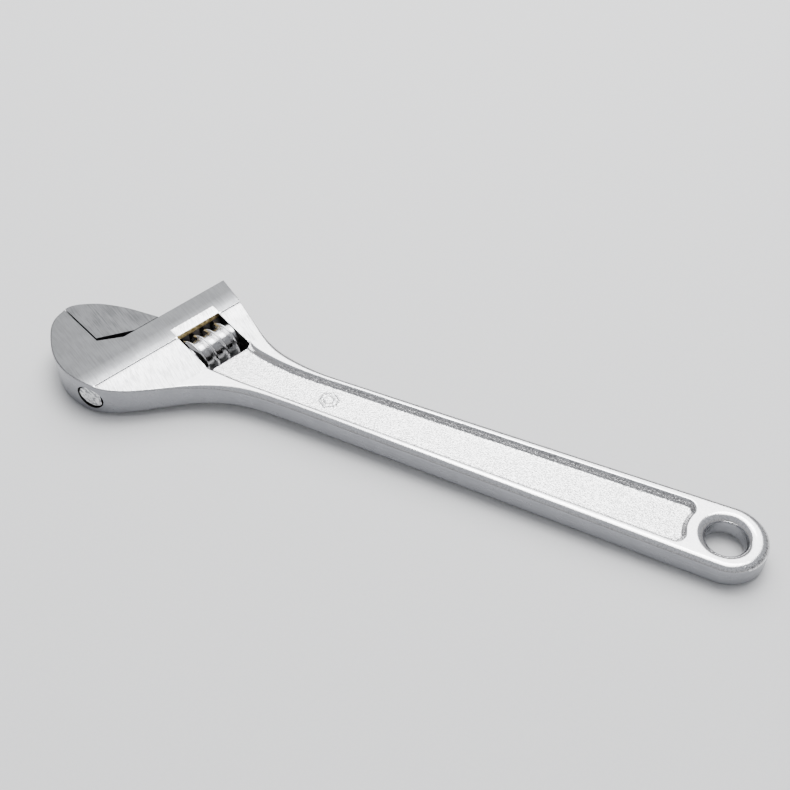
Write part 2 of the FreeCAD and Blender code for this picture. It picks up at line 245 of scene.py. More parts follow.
def inward(points):
    """Inward normals of a clockwise outline, lengthened at corners."""
    before = points - np.roll(points, 1, axis=0)
    after = np.roll(points, -1, axis=0) - points
    before /= np.linalg.norm(before, axis=1)[:, None]
    after /= np.linalg.norm(after, axis=1)[:, None]
    side_a = np.c_[before[:, 1], -before[:, 0]]
    side_b = np.c_[after[:, 1], -after[:, 0]]
    middle = side_a + side_b
    middle /= np.linalg.norm(middle, axis=1)[:, None]
    return middle / np.maximum(0.45, (middle * side_b).sum(1))[:, None]


def distance_to(points, line):
    """Distance from each point to a closed outline."""
    start, end = line, np.roll(line, -1, axis=0)
    way = end - start
    length2 = (way**2).sum(1)
    best = np.full(len(points), 1e9)
    for s, w, l2 in zip(start, way, length2):
        t = np.clip(((points - s) @ w) / l2, 0, 1)
        gap = points - s - t[:, None] * w
        best = np.minimum(best, (gap**2).sum(1))
    return np.sqrt(best)


def inside(points, line):
    """True for the points inside a closed outline."""
    result = np.zeros(len(points), bool)
    x, y = points[:, 0], points[:, 1]
    for (x0, y0), (x1, y1) in zip(line, np.roll(line, -1, axis=0)):
        crosses = (y0 > y) != (y1 > y)
        if crosses.any():
            at = x0 + (y - y0) / (y1 - y0 + 1e-12) * (x1 - x0)
            result ^= crosses & (x < at)
    return result


def recess_outline(step=FINE_STEP):
    """Outline of the recess's floor, clockwise."""
    slope = math.radians(RECESS_TAPER)
    near_x = -172.0

    def side_point(x, sign):
        return np.array([x, sign * (RECESS_TAIL_HALF + x * math.tan(slope))])

    end_angle = math.degrees(math.asin((RECESS_TAIL_HALF - 3.0) / RECESS_END_R))
    arc = round_points((0, 0), RECESS_END_R, 180 - end_angle, 180 + end_angle, 16)
    far_start = head_point(RECESS_START_U, WINDOW_V[1] - 1.2)
    near_start = head_point(RECESS_START_U, WINDOW_V[0] + 1.2)
    toward_tail = (math.cos(slope), math.sin(slope))
    far_corner = side_point(arc[0][0] - 2.0, 1)
    near_corner = side_point(arc[-1][0] - 2.0, -1)
    return np.vstack([
        straight(near_start, far_start, step),
        smooth_curve([far_start, (-199.8, 9.0), (-190.0, 7.4), side_point(near_x, 1)],
                     (0.8, -0.6), toward_tail, step),
        straight(side_point(near_x, 1), far_corner, 2 * step),
        smooth_curve([far_corner, arc[0]], toward_tail, (-0.36, -0.93), step / 2),
        arc[:-1],
        smooth_curve([arc[-1], near_corner], (0.36, -0.93), (-toward_tail[0], toward_tail[1]), step / 2),
        straight(near_corner, side_point(near_x, -1), 2 * step),
        smooth_curve([side_point(near_x, -1), (-190.0, -6.5), (-203.0, -6.3), near_start],
                     (-toward_tail[0], toward_tail[1]), (-1.0, 0.05), step)])


# ---- height of the upper face -----------------------------------------------------

def soft_min(a, b, blend):
    """The smaller of two heights, rounded off where they are within blend."""
    h = np.clip(0.5 + 0.5 * (b - a) / blend, 0, 1)
    return b + (a - b) * h - blend * h * (1 - h)


def plain_height(points):
    """Half thickness of the forging, before the recess and the notch."""
    u = head_u(points)
    drop = HEAD_HALF - CREASE_Z
    band = HEAD_HALF - drop * (np.clip(u - BAND_FLAT_U, 0, None) / (CREASE_U - BAND_FLAT_U))**2
    slope = (SLOPE_END_Z - CREASE_Z) / (SLOPE_END_U - CREASE_U)
    face = CREASE_Z + slope * (u - CREASE_U)
    handle = -soft_min(-face, np.full(len(u), -HANDLE_HALF), SLOPE_BLEND)
    groove = CREASE_GROOVE[0] * np.exp(-((u - CREASE_U) / CREASE_GROOVE[1])**2)
    return np.where(u < CREASE_U, band, handle) - groove


def notch_height(points):
    """The ground facet above the window; very high everywhere else."""
    u, v = head_u(points), head_v(points)
    plane = HEAD_HALF + NOTCH_SLOPE * (u - NOTCH_U)
    out = np.maximum.reduce([WINDOW_V[0] - v, v - WINDOW_V[1], NOTCH_U - u,
                             u - WINDOW_U[0] - NOTCH_REACH, np.zeros(len(u))])
    return plane + NOTCH_WALL_RISE * out


def upper_height(points, recess, mark):
    """Height of the upper face at plan points."""
    height = plain_height(points)
    height = np.minimum(height, notch_height(points))
    gap = distance_to(points, recess)
    signed = np.where(inside(points, recess), -gap, gap)
    wall = RECESS_FLOOR_Z - RECESS_WALL_SLOPE * soft_min(-signed, np.zeros(len(gap)), RECESS_FLOOR_BLEND)
    height = soft_min(height, wall, RIM_INNER_ROUND)
    return height + mark_ridge(points, mark)


# ---- raised size mark -------------------------------------------------------------

def mark_lines():
    """A plain pictogram of a nut, raised on the recess floor in place of lettering."""
    centre = np.array([MARK_X, 0.0])
    hexagon = round_points(centre, MARK_NUT_R, 30, 390, 6)
    return [np.vstack([straight(a, b, 0.5) for a, b in zip(hexagon, np.roll(hexagon, -1, axis=0))]),
            round_points(centre, MARK_HOLE_R, 0, 360, 24)]


def mark_ridge(points, mark):
    """How far the mark's lines raise the recess floor."""
    ridge = np.zeros(len(points))
    near = np.abs(points[:, 0] - MARK_X) < MARK_REACH
    if near.any():
        gap = np.minimum.reduce([distance_to(points[near], line) for line in mark])
        ridge[near] = MARK_RIDGE[0] * np.exp(-(gap / MARK_RIDGE[1])**2)
    return ridge


# ---- mesh helpers -----------------------------------------------------------------

def new_piece(name, vertices, faces):
    mesh = bpy.data.meshes.new(name)
    mesh.from_pydata([tuple(v) for v in np.asarray(vertices) * MM], [], faces)
    mesh.validate()
    piece = bpy.data.objects.new(name, mesh)
    bpy.context.scene.collection.objects.link(piece)
    return piece


def tidy_normals(piece):
    """Turn all faces outward."""
    work = bmesh.new()
    work.from_mesh(piece.data)
    bmesh.ops.recalc_face_normals(work, faces=work.faces)
    work.to_mesh(piece.data)
    work.free()


def cut_with(piece, cutters):
    """Subtract the cutters from the piece, and remove them."""
    for cutter in cutters:
        tidy_normals(cutter)
        boolean = piece.modifiers.new("cut", "BOOLEAN")
        boolean.operation = "DIFFERENCE"
        boolean.solver = "EXACT"
        boolean.object = cutter
        graph = bpy.context.evaluated_depsgraph_get()
        result = bpy.data.meshes.new_from_object(piece.evaluated_get(graph))
        piece.modifiers.clear()
        piece.data = result
        bpy.data.objects.remove(cutter)


def close_seams(piece):
    """Fill the hairline gaps that cutting leaves where curved and flat cuts meet."""
    work = bmesh.new()
    work.from_mesh(piece.data)
    gaps = [edge for edge in work.edges if edge.is_boundary]
    filled = bmesh.ops.holes_fill(work, edges=gaps, sides=8)["faces"]
    bmesh.ops.triangulate(work, faces=filled)
    work.to_mesh(piece.data)
    work.free()


def rod_cutter(name, u, radius, v_range, sides=72):
    """A round cutter along v."""
    angles = np.linspace(0, 2 * np.pi, sides, endpoint=False)
    vertices = []
    for v in v_range:
        for a in angles:
            x, y = head_point(u + radius * math.cos(a), v)
            vertices.append((x, y, radius * math.sin(a)))
    faces = [(i, (i + 1) % sides, sides + (i + 1) % sides, sides + i) for i in range(sides)]
    faces += [tuple(range(sides))[::-1], tuple(range(sides, 2 * sides))]
    return new_piece(name, vertices, faces)


def box_cutter(name, u_range, v_range, z_range):
    vertices = [(*head_point(u, v), z) for z in z_range for v in v_range for u in u_range]
    faces = [(0, 2, 3, 1), (4, 5, 7, 6), (0, 1, 5, 4), (2, 6, 7, 3), (0, 4, 6, 2), (1, 3, 7, 5)]
    return new_piece(name, vertices, faces)


def finish_shading(piece, angle=32):
    """Smooth shading with crisp edges, flats kept flat."""
    mesh = piece.data
    mesh.shade_smooth()
    mesh.set_sharp_from_angle(angle=math.radians(angle))
    weighted = piece.modifiers.new("weighted", "WEIGHTED_NORMAL")
    weighted.keep_sharp = True
    weighted.weight = 60


# ---- body -------------------------------------------------------------------------

def rounded_strip(outline, width, depth, height, steps):
    """Rings of points round an edge: from the side wall up and on to the upper face."""
    normals = inward(outline)
    rings = []
    for step in range(steps + 1):
        angle = math.pi / 2 * step / steps
        ring = outline + normals * (width * (1 - math.cos(angle)))[:, None]
        rings.append(np.c_[ring, height(ring) - depth * (1 - math.sin(angle))])
    return rings


def crease_lines():
    """Lines of points across the head where its thickness bends."""
    near_crease = CREASE_U + np.array([-0.9, -0.5, -0.3, -0.15, 0.0, 0.15, 0.3, 0.6])
    across = [NOTCH_U - 0.1, NOTCH_U + 0.15, -222.0, -221.0, -220.2, *near_crease,
              -211.0, -209.5, -208.0, -206.6, -205.2, -203.8, -202.4, -201.0]
    return [np.array([head_point(u, v) for v in np.arange(-134.0, -50.0, 1.0)]) for u in across]


def clear_of(points, border, holes, gap=0.3):
    """True for points on the upper face that keep a gap to its border and its holes."""
    keep = inside(points, border) & (distance_to(points, border) > gap)
    for hole in holes:
        keep &= ~inside(points, hole) & (distance_to(points, hole) > gap)
    return keep


def joined(keep, closed):
    """Pairs of neighbours along a line whose points are both kept, numbered as kept."""
    number = np.cumsum(keep) - 1
    last = len(keep) if closed else len(keep) - 1
    return [(int(number[i]), int(number[(i + 1) % len(keep)])) for i in range(last)
            if keep[i] and keep[(i + 1) % len(keep)]]


def far_from(points, others, gap):
    """True for the points at least gap away from all the others."""
    cells = {}
    for x, y in others:
        cells.setdefault((int(x // gap), int(y // gap)), []).append((x, y))
    result = []
    for x, y in points:
        i, j = int(x // gap), int(y // gap)
        close = any((x - a)**2 + (y - b)**2 < gap * gap
                    for di in (-1, 0, 1) for dj in (-1, 0, 1)
                    for a, b in cells.get((i + di, j + dj), ()))
        result.append(not close)
    return np.array(result, bool)


def face_points(border, holes, recess):
    """Points of the upper face: lines along every bend, joined, and a grid between them."""
    normals = inward(recess)
    points, joins, ring_count = np.zeros((0, 2)), [], 0
    lines = [(recess - normals * out, True) for out in WALL_LINES]
    for line, closed in lines + [(line, False) for line in crease_lines()]:
        keep = clear_of(line, border, holes)
        if not closed:
            keep &= far_from(line, points[:ring_count], 0.9)
        joins += [(a + len(points), b + len(points)) for a, b in joined(keep, closed)]
        points = np.vstack([points, line[keep]])
        ring_count = len(points) if closed else ring_count
    fine = np.arange(-5.0, 5.01, 0.28)
    patch = np.array([(MARK_X + a, b) for a in fine for b in fine])
    rows = enumerate(np.arange(-42, 43, GRID_STEP))
    grid = np.array([(x + 0.5 * GRID_STEP * (j % 2), y) for j, y in rows
                     for x in np.arange(-292, 18, GRID_STEP)])
    for group, gap in ((patch, 0.2), (grid, 0.62)):
        group = group[clear_of(group, border, holes)]
        points = np.vstack([points, group[far_from(group, points, gap)]])
    return points, joins


def window_outline():
    u0, u1 = WINDOW_U
    v0, v1 = WINDOW_V
    corners = [head_point(u0, v0), head_point(u1, v0), head_point(u1, v1), head_point(u0, v1)]
    return np.vstack([straight(a, b) for a, b in zip(corners, corners[1:] + corners[:1])])


def strip_faces(base, size, steps):
    """Quads between neighbouring rings of a strip."""
    return [(base + s * size + i, base + s * size + (i + 1) % size,
             base + (s + 1) * size + (i + 1) % size, base + (s + 1) * size + i)
            for s in range(steps) for i in range(size)]


def fill_face(borders, inner, joins, vertices, height):
    """Triangles between the borders' inner rings, with extra points where lines cross."""
    plan, constraint, lookup = [], [], []
    for ring, first in borders:
        at, size = len(plan), len(ring)
        plan += [Vector(p) for p in ring]
        lookup += range(first, first + size)
        constraint += [(at + i, at + (i + 1) % size) for i in range(size)]
    at = len(plan)
    plan += [Vector(p) for p in inner]
    lookup += range(len(vertices), len(vertices) + len(inner))
    vertices += [(x, y, z) for (x, y), z in zip(inner, height(inner))]
    constraint += [(at + a, at + b) for a, b in joins]
    points, _, triangles, origin, _, _ = delaunay_2d_cdt(plan, constraint, [], 0, 1e-6)
    numbers = []
    for point, source in zip(points, origin):
        if source:
            numbers.append(lookup[source[0]])
        else:
            numbers.append(len(vertices))
            vertices.append((*point, float(height(np.array([point]))[0])))
    centres = np.array([np.mean([points[i] for i in tri], axis=0) for tri in triangles])
    keep = inside(centres, borders[0][0])
    for ring, _ in borders[1:]:
        keep &= ~inside(centres, ring)
    return [tuple(numbers[i] for i in tri) for tri, wanted in zip(triangles, keep) if wanted]


def build_body():
    """The forging: both faces share one plan mesh, and rounded edges join them."""
    recess = recess_outline()
    mark = mark_lines()

    def height(points):
        return upper_height(points, recess, mark)

    outline, edge = body_outline()
    hole = round_points((0, 0), HANG_HOLE_R, 0, 360, 96)
    window = window_outline()
    lip = np.ones(len(hole))
    sharp = np.full(len(window), SHARP_EDGE)
    wide = edge * (1 + RIM_CROWN * ease(edge / HANDLE_EDGE))
    loops = [(outline, wide, edge, EDGE_STEPS),
             (hole, HANG_LIP[0] * lip, HANG_LIP[1] * lip, LIP_STEPS),
             (window, sharp, sharp, WINDOW_STEPS)]
    vertices, faces, borders, walls = [], [], [], []
    for loop, width, depth, steps in loops:
        rings = rounded_strip(loop, width, depth, height, steps)
        base, size = len(vertices), len(loop)
        vertices += [tuple(p) for ring in rings for p in ring]
        faces += strip_faces(base, size, steps)
        borders.append((rings[-1][:, :2], base + steps * size))
        walls.append((base, size))
    inner, joins = face_points(borders[0][0], [borders[1][0], borders[2][0]], recess)
    faces += fill_face(borders, inner, joins, vertices, height)
    count = len(vertices)
    vertices += [(x, y, -z) for x, y, z in vertices]
    faces += [tuple(i + count for i in reversed(face)) for face in faces]
    for base, size in walls:
        faces += [(base + i, base + (i + 1) % size, base + count + (i + 1) % size, base + count + i)
                  for i in range(size)]
    piece = new_piece("wrench_body", vertices, faces)
    tidy_normals(piece)
    cut_with(piece, [
        rod_cutter("cut_bore", STEM_U, STEM_BORE_R, (-160, -40)),
        box_cutter("cut_slot", (-250, STEM_U), (-107, -40), (-SLOT_HALF, SLOT_HALF)),
        rod_cutter("cut_pin", WORM_U, PIN_HOLE_R, (PIN_START_V, -40), 40)])
    close_seams(piece)
    finish_shading(piece)
    return piece


# ---- adjusting worm ---------------------------------------------------------------

def thread_radius(along):
    """Radius of the worm at a distance along its thread's pitch from a crest."""
    off = np.abs((along + WORM_LEAD / 2) % WORM_LEAD - WORM_LEAD / 2)
    flank = WORM_R - (off - CREST_HALF) * (WORM_R - WORM_ROOT_R) / (ROOT_HALF - CREST_HALF)
    crown = WORM_R - CREST_DROP * (off / CREST_HALF)**2
    radius = soft_min(flank, crown, CREST_BLEND)
    return -soft_min(-radius, np.full(off.shape, -WORM_ROOT_R), ROOT_BLEND)


def build_worm():
    """The thumb worm as one sheet of points round its axis, closed by its bore and ends."""
    length = WORM_V[1] - WORM_V[0]
    angles = np.linspace(0, 2 * np.pi, WORM_AROUND, endpoint=False)
    stations = WORM_V[0] + length * np.linspace(0, 1, WORM_ROWS)
    end_gap = np.minimum(stations - WORM_V[0], WORM_V[1] - stations)
    vertices, faces = [], []

    def ring(v, radii):
        start = len(vertices)
        for a, r in zip(angles, radii):
            x, y = head_point(WORM_U + r * math.sin(a), v)
            vertices.append((x, y, r * math.cos(a)))
        return start

    def join(first, second):
        for i in range(WORM_AROUND):
            j = (i + 1) % WORM_AROUND
            faces.append((first + i, first + j, second + j, second + i))

    starts = []
    for v, gap in zip(stations, end_gap):
        crest_v = WORM_CREST_V + WORM_LEAD * (angles / (2 * np.pi) - 0.25)
        limit = WORM_R - 0.9 + 1.6 * gap if gap < WORM_BEVEL else WORM_R
        starts.append(ring(v, np.minimum(thread_radius(v - crest_v), limit)))
    for first, second in zip(starts, starts[1:]):
        join(first, second)
    bore = np.full(WORM_AROUND, PIN_BORE_R)
    pocket = np.full(WORM_AROUND, SPRING_POCKET_R)
    low_bore = ring(WORM_V[0], bore)
    floor_v = WORM_V[1] - SPRING_POCKET_DEPTH
    chain = [low_bore, ring(floor_v, bore), ring(floor_v, pocket), ring(WORM_V[1], pocket),
             starts[-1]]
    join(low_bore, starts[0])
    for first, second in zip(chain, chain[1:]):
        join(second, first)
    piece = new_piece("thumb_worm", vertices, faces)
    tidy_normals(piece)
    finish_shading(piece, 40)
    return piece


# ---- materials --------------------------------------------------------------------

def shader(name):
    """A new node material and its main shader."""
    material = bpy.data.materials.new(name)
    material.use_nodes = True
    tree = material.node_tree
    return material, tree, tree.nodes["Principled BSDF"]


def link(tree, output, target):
    """Join two sockets."""
    tree.links.new(output, target)


def position(tree, scale=(1, 1, 1), turn=0.0):
    """Object coordinates in metres, stretched and turned about Z."""
    coords = tree.nodes.new("ShaderNodeTexCoord")
    mapping = tree.nodes.new("ShaderNodeMapping")
    mapping.inputs["Scale"].default_value = scale
    rotate = tree.nodes.new("ShaderNodeMapping")
    rotate.inputs["Rotation"].default_value = (0, 0, turn)
    link(tree, coords.outputs["Object"], rotate.inputs["Vector"])
    link(tree, rotate.outputs["Vector"], mapping.inputs["Vector"])
    return mapping.outputs["Vector"]


def noise(tree, vector, scale, detail=3.0, roughness=0.5):
    """Procedural noise with scale features to the metre."""
    node = tree.nodes.new("ShaderNodeTexNoise")
    node.inputs["Scale"].default_value = scale
    node.inputs["Detail"].default_value = detail
    node.inputs["Roughness"].default_value = roughness
    link(tree, vector, node.inputs["Vector"])
    return node.outputs["Fac"]


def remap(tree, value, low, high, to_low, to_high):
    """Scale a value from one range to another, held at its ends."""
    node = tree.nodes.new("ShaderNodeMapRange")
    ends = {"From Min": low, "From Max": high, "To Min": to_low, "To Max": to_high}
    for socket, number in ends.items():
        node.inputs[socket].default_value = number
    link(tree, value, node.inputs["Value"])
    return node.outputs["Result"]


def maths(tree, operation, first, second):
    node = tree.nodes.new("ShaderNodeMath")
    node.operation = operation
    for socket, value in zip(node.inputs, (first, second)):
        if isinstance(value, (int, float)):
            socket.default_value = value
        else:
            link(tree, value, socket)
    return node.outputs[0]


def colour_ramp(tree, value, stops):
    """Colours picked by a value, from (place, colour) pairs."""
    ramp = tree.nodes.new("ShaderNodeValToRGB")
    ramp.color_ramp.elements[0].position = stops[0][0]
    ramp.color_ramp.elements[0].color = (*stops[0][1], 1)
    ramp.color_ramp.elements[1].position = stops[-1][0]
    ramp.color_ramp.elements[1].color = (*stops[-1][1], 1)
    for at, colour in stops[1:-1]:
        ramp.color_ramp.elements.new(at).color = (*colour, 1)
    link(tree, value, ramp.inputs["Fac"])
    return ramp.outputs["Color"]


def bump(tree, height, distance, strength, normal=None):
    """Relief of the given depth in metres, over another one if it is given."""
    node = tree.nodes.new("ShaderNodeBump")
    node.inputs["Distance"].default_value = distance
    node.inputs["Strength"].default_value = strength
    link(tree, height, node.inputs["Height"])
    if normal is not None:
        link(tree, normal, node.inputs["Normal"])
    return node.outputs["Normal"]


def hairlines(tree, turn):
    """Fine grinding strokes along X turned by turn."""
    return noise(tree, position(tree, (90, 1900, 1900), turn), 1.0, 3.0, 0.65)


def along_head(tree, way):
    """Distance in metres along a direction of the head's frame."""
    node = tree.nodes.new("ShaderNodeVectorMath")
    node.operation = "DOT_PRODUCT"
    node.inputs[1].default_value = way
    link(tree, position(tree), node.inputs[0])
    return node.outputs["Value"]


def satin_steel(name, turn, shade, roughness=0.38, contrast=0.6, crease_sheen=0.0):
    """Ground chrome plate: fine straight strokes, slightly uneven grey.

    The last argument is how much lighter the slide band is painted toward the crease: a painted
    highlight.
    """
    material, tree, main = shader(name)
    lines = hairlines(tree, turn)
    patches = noise(tree, position(tree), 160.0, 3.0)
    main.inputs["Metallic"].default_value = 1.0
    tone = maths(tree, "ADD", maths(tree, "MULTIPLY", lines, 0.7),
                 maths(tree, "MULTIPLY", patches, 0.3))
    dark = tuple(c * contrast for c in shade)
    base = colour_ramp(tree, tone, [(0.38, dark), (0.56, shade)])
    # painted highlight: the slide band's colour is raised toward the crease
    if crease_sheen:
        gain = remap(tree, along_head(tree, HEAD_U_WAY), (SLIDE_U + 7.0) * MM, CREASE_U * MM,
                     1.0, 1.0 + crease_sheen)
        scaled = tree.nodes.new("ShaderNodeVectorMath")
        scaled.operation = "SCALE"
        link(tree, base, scaled.inputs[0])
        link(tree, gain, scaled.inputs["Scale"])
        base = scaled.outputs["Vector"]
    link(tree, base, main.inputs["Base Color"])
    link(tree, remap(tree, tone, 0.3, 0.7, roughness + 0.05, roughness - 0.05), main.inputs["Roughness"])
    link(tree, bump(tree, lines, 0.00003, 0.6), main.inputs["Normal"])
    return material


def cast_chrome(name, peel_height, rough, shade, depth):
    """Chrome plate over a forged skin: bright, with a fine orange-peel surface.

    depth is the brightness of the peel's hollows next to its tops: painted shade in the hollows of the
    bumped peel.
    """
    material, tree, main = shader(name)
    vector = position(tree)
    peel = noise(tree, vector, 1700.0, 3.0, 0.55)
    swell = noise(tree, vector, 240.0, 2.0)
    main.inputs["Metallic"].default_value = 1.0
    dark = tuple(c * depth for c in shade)
    # painted shade: the peel's hollows are coloured darker than its tops
    link(tree, colour_ramp(tree, peel, [(0.43, dark), (0.53, shade)]), main.inputs["Base Color"])
    link(tree, remap(tree, peel, 0.3, 0.7, rough + 0.06, rough - 0.04), main.inputs["Roughness"])
    first = bump(tree, swell, 0.00012, 0.2)
    link(tree, bump(tree, peel, peel_height, 0.6, first), main.inputs["Normal"])
    return material


def mirror_mottle(tree):
    """Shader for the bright, unevenly finished end of the movable jaw's stem."""
    end = tree.nodes.new("ShaderNodeBsdfPrincipled")
    mottle = noise(tree, position(tree), 700.0, 3.0)
    link(tree, colour_ramp(tree, mottle, [(0.38, (0.3, 0.31, 0.33)), (0.56, (1.0, 1.0, 1.0))]),
         end.inputs["Base Color"])
    end.inputs["Metallic"].default_value = 0.35
    end.inputs["Roughness"].default_value = 0.35
    link(tree, bump(tree, mottle, 0.0004, 0.8), end.inputs["Normal"])
    return end.outputs["BSDF"]


def shaded_rack(tree):
    """Shader for the jaw's stem and rack: near-black, as painted shade where they sit inside the head."""
    rack = tree.nodes.new("ShaderNodeBsdfPrincipled")
    stain = noise(tree, position(tree), 420.0, 4.0)
    link(tree, colour_ramp(tree, stain, [(0.35, (0.008, 0.008, 0.008)), (0.7, (0.035, 0.032, 0.03))]),
         rack.inputs["Base Color"])
    rack.inputs["Metallic"].default_value = 1.0
    rack.inputs["Roughness"].default_value = 0.55
    link(tree, bump(tree, stain, 0.00005, 0.5), rack.inputs["Normal"])
    return rack.outputs["BSDF"]


def jaw_steel(name, turn, shade):
    """The jaw's satin finish, its stem painted near-black as shade, and the stem's bright end."""
    material = satin_steel(name, turn, shade)
    tree = material.node_tree
    surface = tree.nodes["Principled BSDF"].outputs["BSDF"]
    # the stem and rack beyond the slide get the near-black painted shade
    regions = ((HEAD_U_WAY, "GREATER_THAN", SLIDE_U + 1.0, shaded_rack(tree)),
               ((0, 1, 0), "LESS_THAN", STEM_END_Y + 0.05, mirror_mottle(tree)))
    for way, test, limit, shown in regions:
        mix = tree.nodes.new("ShaderNodeMixShader")
        link(tree, maths(tree, test, along_head(tree, way), limit * MM), mix.inputs["Fac"])
        link(tree, surface, mix.inputs[1])
        link(tree, shown, mix.inputs[2])
        surface = mix.outputs["Shader"]
    link(tree, surface, tree.nodes["Material Output"].inputs["Surface"])
    return material


def worm_radius(tree, vector):
    """Distance in metres from the worm's axis."""
    away = tree.nodes.new("ShaderNodeVectorMath")
    away.operation = "SUBTRACT"
    away.inputs[1].default_value = (*(head_point(WORM_U, 0) * MM), 0)
    link(tree, vector, away.inputs[0])
    off_axis = tree.nodes.new("ShaderNodeVectorMath")
    off_axis.operation = "CROSS_PRODUCT"
    off_axis.inputs[1].default_value = (SIN_HEAD, COS_HEAD, 0)
    link(tree, away.outputs["Vector"], off_axis.inputs[0])
    radius = tree.nodes.new("ShaderNodeVectorMath")
    radius.operation = "LENGTH"
    link(tree, off_axis.outputs["Vector"], radius.inputs[0])
    return radius.outputs["Value"]


def polished(name, colour, roughness):
    """Bright polished chrome, with painted shade darkening the thread's grooves toward their root."""
    material, tree, main = shader(name)
    vector = position(tree)
    marks = noise(tree, vector, 900.0, 3.0)
    # painted shade: the base colour darkens toward the thread's root, where the grooves lie in shade
    depth = maths(tree, "ADD", worm_radius(tree, vector), maths(tree, "MULTIPLY", marks, 0.6 * MM))
    groove_shade_fade = remap(tree, depth, WORM_ROOT_R * MM, (WORM_R - 0.4) * MM, 0.0, 1.0)
    low = tuple(c * 0.5 for c in colour)
    main.inputs["Metallic"].default_value = 1.0
    link(tree, colour_ramp(tree, groove_shade_fade, [(0.1, low), (0.7, colour)]), main.inputs["Base Color"])
    link(tree, remap(tree, marks, 0.3, 0.7, roughness, roughness * 2.2), main.inputs["Roughness"])
    link(tree, bump(tree, marks, 0.00003, 0.4), main.inputs["Normal"])
    return material


def stain_and_shade_steel(name, shades):
    """Mottled steel inside the head, in three shades from dark to light; the near-black copy is painted
    shade on walls that sit in shadow, the amber copy a stain.
    """
    material, tree, main = shader(name)
    stain = noise(tree, position(tree), 420.0, 4.0)
    main.inputs["Metallic"].default_value = 1.0
    link(tree, colour_ramp(tree, stain, list(zip((0.35, 0.55, 0.72), shades))), main.inputs["Base Color"])
    link(tree, remap(tree, stain, 0.3, 0.7, 0.5, 0.3), main.inputs["Roughness"])
    link(tree, bump(tree, stain, 0.00004, 0.5), main.inputs["Normal"])
    return material


def floor_paper(name):
    """Matt pale paper with a barely visible grain."""
    material, tree, main = shader(name)
    grain = noise(tree, position(tree), 900.0, 4.0)
    link(tree, colour_ramp(tree, grain, [(0.2, (0.675, 0.677, 0.68)), (0.8, (0.705, 0.706, 0.708))]),
         main.inputs["Base Color"])
    main.inputs["Roughness"].default_value = 0.85
    return material


def assign_by(piece, materials, choose):
    """Give each face the material that choose(centre in mm, normal) names."""
    mesh = piece.data
    mesh.materials.clear()
    names = list(materials)
    for name in names:
        mesh.materials.append(materials[name])
    for face in mesh.polygons:
        face.material_index = names.index(choose(face.center / MM, face.normal))


# ---- stage ------------------------------------------------------------------------

FLOOR_HALF = 3.0            # metres
FLOOR_GAP = 0.00002         # metres, so that the paper never touches the steel
TAIL_REST_X = 13.0          # the tail rests on the paper here

CAMERA_AZIMUTH = 25.47
CAMERA_ELEVATION = 47.45
CAMERA_ROLL = -0.43
CAMERA_TARGET = (-0.14209, 0.01699, 0)
CAMERA_DISTANCE = 0.4956    # metres
CAMERA_DROP = 0.00041       # metres, squarely down in the picture
SENSOR = 36.0
LENS = 54.9114

LIGHT_TARGET = (-0.14, 0, 0)
LIGHTS = (("soft_back", (-0.45, 0.72, 1.05), (1.3, 1.1), 26),      # place, size, watts
          ("soft_top", (-0.1, 0.4, 1.5), (1.0, 0.8), 25))


def make_floor():
    """A plain plane under the head's flat and the tail."""
    slope = (HEAD_HALF - HANDLE_HALF) / (TAIL_REST_X - BAND_FLAT_U)
    mesh = bpy.data.meshes.new("floor")
    half = FLOOR_HALF
    corners = [(-half, -half), (half, -half), (half, half), (-half, half)]
    level = -HEAD_HALF * MM - FLOOR_GAP
    mesh.from_pydata([(x, y, level + slope * (x - BAND_FLAT_U * MM)) for x, y in corners], [],
                     [(0, 1, 2, 3)])
    floor = bpy.data.objects.new("floor", mesh)
    bpy.context.scene.collection.objects.link(floor)
    mesh.materials.append(floor_paper("floor_paper"))


def make_camera():
    """Camera seen from above the near side of the handle."""
    azimuth, elevation = math.radians(CAMERA_AZIMUTH), math.radians(CAMERA_ELEVATION)
    roll = math.radians(CAMERA_ROLL)
    back = Vector((math.sin(azimuth) * math.cos(elevation),
                   -math.cos(azimuth) * math.cos(elevation), math.sin(elevation)))
    level = Vector((math.cos(azimuth), math.sin(azimuth), 0))
    up = back.cross(level)
    right = math.cos(roll) * level + math.sin(roll) * up
    above = -math.sin(roll) * level + math.cos(roll) * up
    data = bpy.data.cameras.new("camera")
    data.sensor_width = SENSOR
    data.lens = LENS
    data.clip_start, data.clip_end = 0.01, 20
    camera = bpy.data.objects.new("camera", data)
    bpy.context.scene.collection.objects.link(camera)
    turn = Matrix((right, above, back)).transposed()
    place = Vector(CAMERA_TARGET) + back * CAMERA_DISTANCE - above * CAMERA_DROP
    camera.matrix_world = Matrix.Translation(place) @ turn.to_4x4()
    bpy.context.scene.camera = camera


def soft_light(name, place, size, power):
    """A broad rectangular light that faces the wrench."""
    data = bpy.data.lights.new(name, "AREA")
    data.shape = "RECTANGLE"
    data.size, data.size_y = size
    data.energy = power
    lamp = bpy.data.objects.new(name, data)
    bpy.context.scene.collection.objects.link(lamp)
    lamp.location = place
    way = Vector(LIGHT_TARGET) - Vector(place)
    lamp.rotation_mode = "QUATERNION"
    lamp.rotation_quaternion = way.to_track_quat("-Z", "Y")


